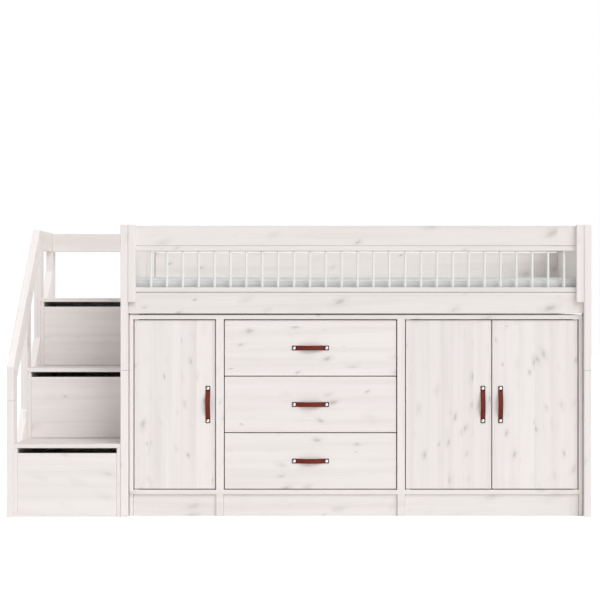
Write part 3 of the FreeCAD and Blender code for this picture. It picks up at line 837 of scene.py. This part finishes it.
def blowUp(piece, look):
    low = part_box("mattress")[0]
    held = piece.vertex_groups.new(name="underside")
    held.add([v.index for v in piece.data.vertices if v.co.z < low.z + look["heldHeight"]], 1.0, "REPLACE")
    before = [v.co.copy() for v in piece.data.vertices]
    cloth = piece.modifiers.new("pressure", "CLOTH")
    settings = cloth.settings
    settings.vertex_group_mass = held.name
    settings.use_pressure = True
    settings.uniform_pressure_force = look["pressure"]
    settings.effector_weights.gravity = 0
    settings.quality = look["quality"]
    cloth.point_cache.frame_start = 1
    cloth.point_cache.frame_end = look["frames"]
    for number in range(1, look["frames"] + 1):
        scene.frame_set(number)
    graph = bpy.context.evaluated_depsgraph_get()
    after = [v.co.copy() for v in piece.evaluated_get(graph).data.vertices]
    piece.modifiers.remove(cloth)
    scene.frame_set(1)
    for vert, start, end in zip(piece.data.vertices, before, after):
        move = end - start
        if move.length > look["cap"]:
            move *= look["cap"] / move.length
        vert.co = start + move


def squareEnds(piece, look):            # the filling keeps the ends full, up to their upper edges
    low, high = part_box("mattress")
    middle = (low + high) / 2
    reach, top = look["endReach"], look["topReach"]
    for vert in piece.data.vertices:
        gap = max(0.0, (high.x - low.x) / 2 - abs(vert.co.x - middle.x))
        drop = max(0.0, high.z - vert.co.z)
        if gap < reach:
            near = 1 - gap / reach
            near *= near * (3 - 2 * near)       # fades out softly at the reach
            vert.co.x += math.copysign(gap * near * look["endPush"], vert.co.x - middle.x)
            vert.co.z += drop * max(0.0, 1 - drop / top) * near


def keepInside(piece, look):            # the cover stays in the space between the rails
    low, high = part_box("mattress")
    for vert in piece.data.vertices:
        for axis in range(3):
            vert.co[axis] = min(max(vert.co[axis], low[axis] + look["clear"]), high[axis] - look["clear"])


def seamPath(piece, look, level):       # a closed line round the mattress at one height, laid on its surface
    low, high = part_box("mattress")
    r = look["cornerRadius"]
    middle = (low + high) / 2
    halfX, halfY = (high.x - low.x) / 2 - r, (high.y - low.y) / 2 - r
    line = []
    for turnX, turnY, first in ((1, 1, 0), (-1, 1, 90), (-1, -1, 180), (1, -1, 270)):
        for a in range(0, 91, 10):
            angle = math.radians(first + a)
            line.append(Vector((middle.x + turnX * halfX + r * math.cos(angle),
                                middle.y + turnY * halfY + r * math.sin(angle), level)))
    path = []
    for a, b in zip(line, line[1:] + line[:1]):
        count = max(1, round((b - a).length / look["pipingStep"]))
        path += [a.lerp(b, n / count) for n in range(count)]
    surface = BVHTree.FromPolygons([v.co for v in piece.data.vertices],
                                   [f.vertices for f in piece.data.polygons])
    return [surface.find_nearest(spot)[0] for spot in path]


def puckerSeam(piece, look, path):      # the cover gathers a little where it is sewn
    low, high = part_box("mattress")
    middle = (low + high) / 2
    level = sum(p.z for p in path) / len(path)
    beat, beatStart = look["puckerBeat"]
    for vert in piece.data.vertices:
        gap = abs(vert.co.z - level)
        outer = max(abs(vert.co[axis] - middle[axis]) / (high[axis] - middle[axis]) for axis in (0, 1))
        if gap > look["puckerBand"] or outer < look["puckerRim"]:
            continue
        turn = (vert.co.x + vert.co.y * look["puckerSlant"]) / look["puckerPitch"] * 2 * math.pi
        fold = math.sin(turn) * math.sin(turn * beat + beatStart)
        vert.co += vert.normal * (look["pucker"] * fold * math.exp(-(gap / look["puckerReach"]) ** 2))


def makePipingTree():
    tree, given, sink = newTree("seam_piping", {"Radius": "Float", "Sides": "Int", "Finish": "Material"})
    line = addNode(tree, "GeometryNodeMeshToCurve")
    feed(tree, line.inputs["Mesh"], given["Geometry"])
    ring = addNode(tree, "GeometryNodeCurvePrimitiveCircle")
    feed(tree, ring.inputs["Resolution"], given["Sides"])
    feed(tree, ring.inputs["Radius"], given["Radius"])
    tube = addNode(tree, "GeometryNodeCurveToMesh")
    feed(tree, tube.inputs["Curve"], line.outputs[0])
    feed(tree, tube.inputs["Profile Curve"], ring.outputs["Curve"])
    smooth = addNode(tree, "GeometryNodeSetShadeSmooth")
    feed(tree, smooth.inputs["Geometry"], tube.outputs[0])
    finishTree(tree, smooth.outputs[0], given["Finish"], sink)
    return tree


def makeMattress(look):
    low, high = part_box("mattress")
    piece = startMattress(look)
    blowUp(piece, look)
    squareEnds(piece, look)
    levels = (high.z - look["rimDrop"], low.z + look["hemLift"])
    puckerSeam(piece, look, seamPath(piece, look, levels[0]))
    keepInside(piece, look)
    shadeSmooth(piece.data)
    points, edges = [], []
    for level in levels:
        path = seamPath(piece, look, level)
        first = len(points)
        points += path
        edges += [(first + n, first + (n + 1) % len(path)) for n in range(len(path))]
    piping = runTree("mattress_piping", makePipingTree(), {
        "Radius": look["pipingRadius"], "Sides": look["pipingSides"], "Finish": coverCloth}, points, edges)
    return piece, piping


mattress, piping = makeMattress(mattressLook)
for piece in (mattress, piping):
    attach(piece, "bed")
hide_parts("mattress")
print("mattress made:", len(mattress.data.polygons), "faces")


# Screws that hold the thin back panels, along their edges
screwLook = {
    "radius": 0.0035,
    "height": 0.0016,
    "flange": 0.0004,
    "shankRadius": 0.0014,
    "shankLength": 0.010,
    "sides": 12,
    "inset": 0.014,             # from the panel's edges
    "spacing": 0.22,
}


def screwSpots(low, high, look):
    spots = []
    left, right = low.x + look["inset"], high.x - look["inset"]
    bottom, top = low.z + look["inset"], high.z - look["inset"]
    wide = max(1, round((right - left) / look["spacing"]))
    tall = max(1, round((top - bottom) / look["spacing"]))
    for n in range(wide + 1):
        x = left + (right - left) * n / wide
        spots += [(x, high.y, bottom), (x, high.y, top)]
    for n in range(1, tall):
        z = bottom + (top - bottom) * n / tall
        spots += [(left, high.y, z), (right, high.y, z)]
    return spots


def makeScrews(look):
    spots = []
    for node in ("cabinet_backs", "stair_back_panel"):
        for low, high in solidBoxes(node):
            spots += screwSpots(low, high, look)
    return runTree("back_panel_screws", fastenerTree, {
        "Radius": look["radius"], "Height": look["height"], "Flange": look["flange"],
        "Shank Radius": look["shankRadius"], "Shank Length": look["shankLength"], "Sides": look["sides"],
        "Turn": faceBack, "Finish": brightMetal}, spots)


screws = makeScrews(screwLook)
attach(screws, "bed")
print("back panel screws made")


# Floor, white surround and a broad low light from the right front
stageLook = {
    "floorSize": 40.0,
    "floorTone": (0.90, 0.90, 0.90, 1),
    "floorGlow": 1.30,
    "glowShare": 0.72,
    "worldLow": 0.426,          # light from the level, and from straight above
    "worldHigh": 0.772,
    "mirrorDark": 0.10,         # what bright metal sees at its left
    "mirrorEdges": (-0.65, 0.15),
}
lampLook = {"azimuth": 40, "elevation": 37, "spread": 42, "strength": 1.44, "distance": 8}


def blend(tree, factor, first, second):
    node = addNode(tree, "ShaderNodeMix", data_type="FLOAT")
    feed(tree, node.inputs[0], factor)
    feed(tree, node.inputs[2], first)
    feed(tree, node.inputs[3], second)
    return node.outputs[0]


def makeFloor(look):
    half = look["floorSize"] / 2
    mesh = bpy.data.meshes.new("floor")
    corners = [(-half, -half, 0), (half, -half, 0), (half, half, 0), (-half, half, 0)]
    mesh.from_pydata(corners, [], [(0, 1, 2, 3)])
    material = bpy.data.materials.new("pale_floor")
    material.use_nodes = True
    tree = material.node_tree
    tree.nodes.clear()
    matt = addNode(tree, "ShaderNodeBsdfDiffuse")
    matt.inputs["Color"].default_value = look["floorTone"]
    glow = addNode(tree, "ShaderNodeEmission")
    glow.inputs["Strength"].default_value = look["floorGlow"]
    path = addNode(tree, "ShaderNodeLightPath").outputs
    seen = calc(tree, "MAXIMUM", path["Is Camera Ray"], path["Is Glossy Ray"])
    seen = calc(tree, "MAXIMUM", seen, path["Is Transmission Ray"])
    mixed = addNode(tree, "ShaderNodeMixShader")
    feed(tree, mixed.inputs[0], calc(tree, "MULTIPLY", seen, look["glowShare"]))
    feed(tree, mixed.inputs[1], matt.outputs[0])
    feed(tree, mixed.inputs[2], glow.outputs[0])
    out = addNode(tree, "ShaderNodeOutputMaterial")
    feed(tree, out.inputs["Surface"], mixed.outputs[0])
    addPiece("floor", mesh, material)


def makeSurround(look):                 # white to look at, softer as a light
    world = bpy.data.worlds.new("white_surround")
    scene.world = world
    world.use_nodes = True
    tree = world.node_tree
    back = tree.nodes["Background"]
    back.inputs["Color"].default_value = (1, 1, 1, 1)
    x, y, z = parts(tree, addNode(tree, "ShaderNodeTexCoord").outputs["Generated"])
    path = addNode(tree, "ShaderNodeLightPath").outputs
    mirrored = spread(tree, step(tree, x, *look["mirrorEdges"]), look["mirrorDark"], 1.0)
    plain = spread(tree, z, look["worldLow"], look["worldHigh"])
    level = blend(tree, path["Is Glossy Ray"], plain, mirrored)
    straight = calc(tree, "MAXIMUM", path["Is Camera Ray"], path["Is Transmission Ray"])
    feed(tree, back.inputs["Strength"], blend(tree, straight, level, 1.0))


def makeLamp(look):
    turn, lift = math.radians(look["azimuth"]), math.radians(look["elevation"])
    toLamp = Vector((math.sin(turn) * math.cos(lift), -math.cos(turn) * math.cos(lift), math.sin(lift)))
    data = bpy.data.lights.new("low_light", "SUN")
    data.angle = math.radians(look["spread"])
    data.energy = look["strength"]
    lamp = bpy.data.objects.new("low_light", data)
    lamp.location = toLamp * look["distance"]
    lamp.rotation_euler = (-toLamp).to_track_quat("-Z", "Y").to_euler()
    scene.collection.objects.link(lamp)


makeFloor(stageLook)
makeSurround(stageLook)
makeLamp(lampLook)
print("stage and light set")
